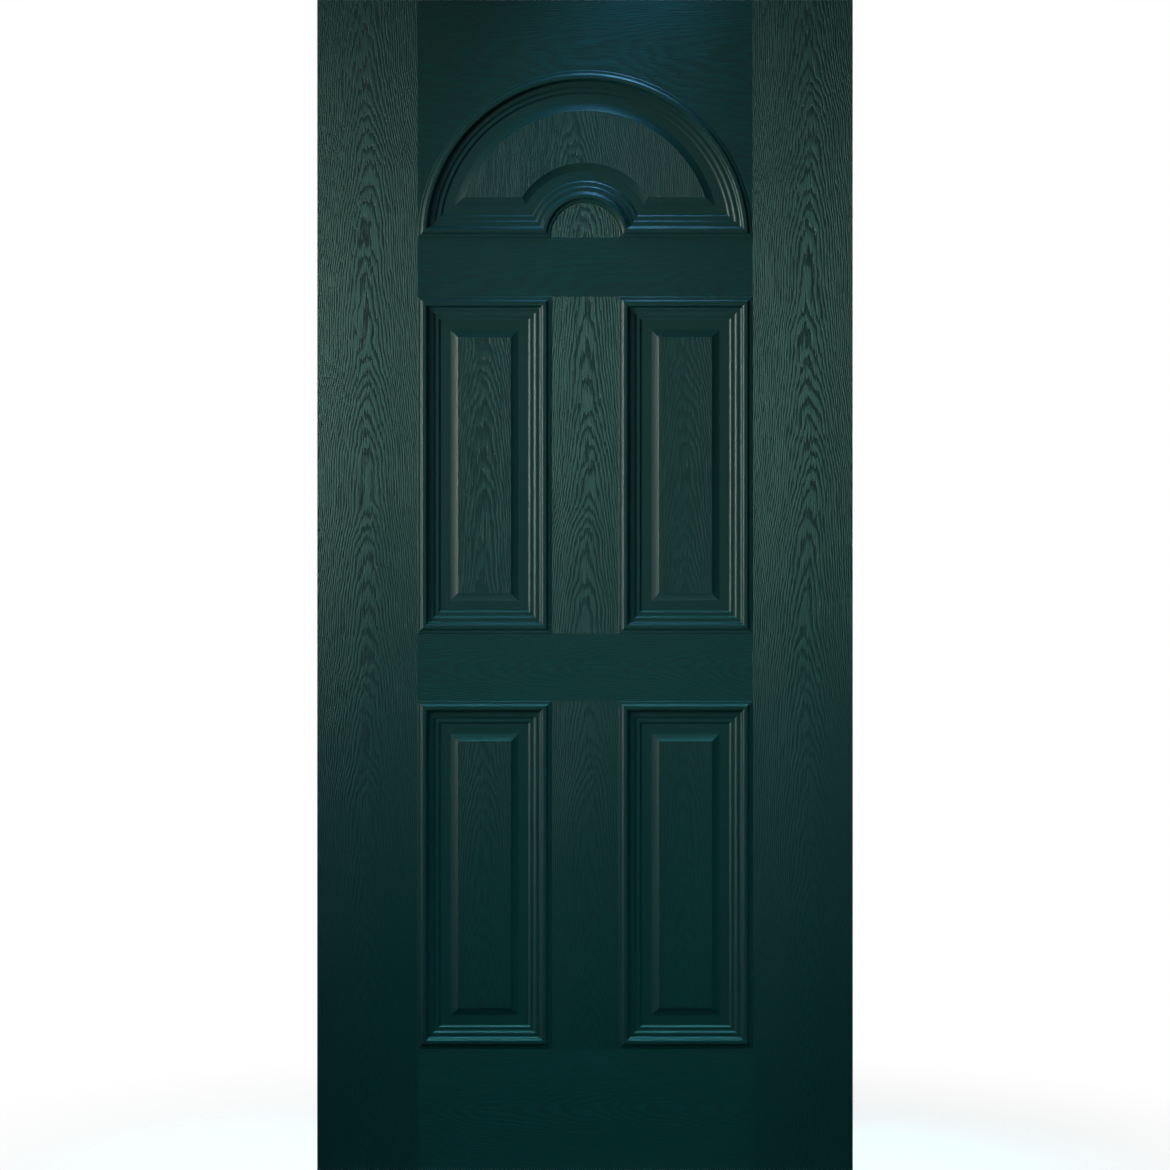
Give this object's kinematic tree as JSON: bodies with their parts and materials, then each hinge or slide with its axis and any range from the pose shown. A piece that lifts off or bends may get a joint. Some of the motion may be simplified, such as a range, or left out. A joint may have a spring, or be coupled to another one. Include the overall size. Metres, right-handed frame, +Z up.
{
  "type": "panelled front door",
  "caption": "Moulded plastic-skinned front door leaf with raised panels below an arched panel, foam filled round a timber frame.",
  "frame": {"origin": "bottom centre of the leaf, at the middle of its thickness", "axes": "+Z up the leaf, +X across it to the right as seen from outside, the outside face towards -Y"},
  "size_m": [0.915, 0.0528, 2],
  "materials": {
    "painted_skin": "dark green satin paint over a moulded woodgrain",
    "laminated_timber": "bare laminated veneer lumber",
    "rot_proof_rail": "bare filled plastic",
    "rigid_foam": "rigid closed-cell foam",
    "fastener_steel": "bright steel strip",
    "edge_band": "dark green satin strip"
  },
  "bodies": {
    "root": {"front_skin": "painted_skin", "back_skin": "painted_skin", "hinge_stile": "laminated_timber", "lock_stile": "laminated_timber", "top_rail": "laminated_timber", "bottom_rail": "rot_proof_rail", "lock_block": "laminated_timber", "foam_core": "rigid_foam", "corner_fasteners": "fastener_steel", "hinge_edge_band": "edge_band", "lock_edge_band": "edge_band"}
  },
  "joints": []
}
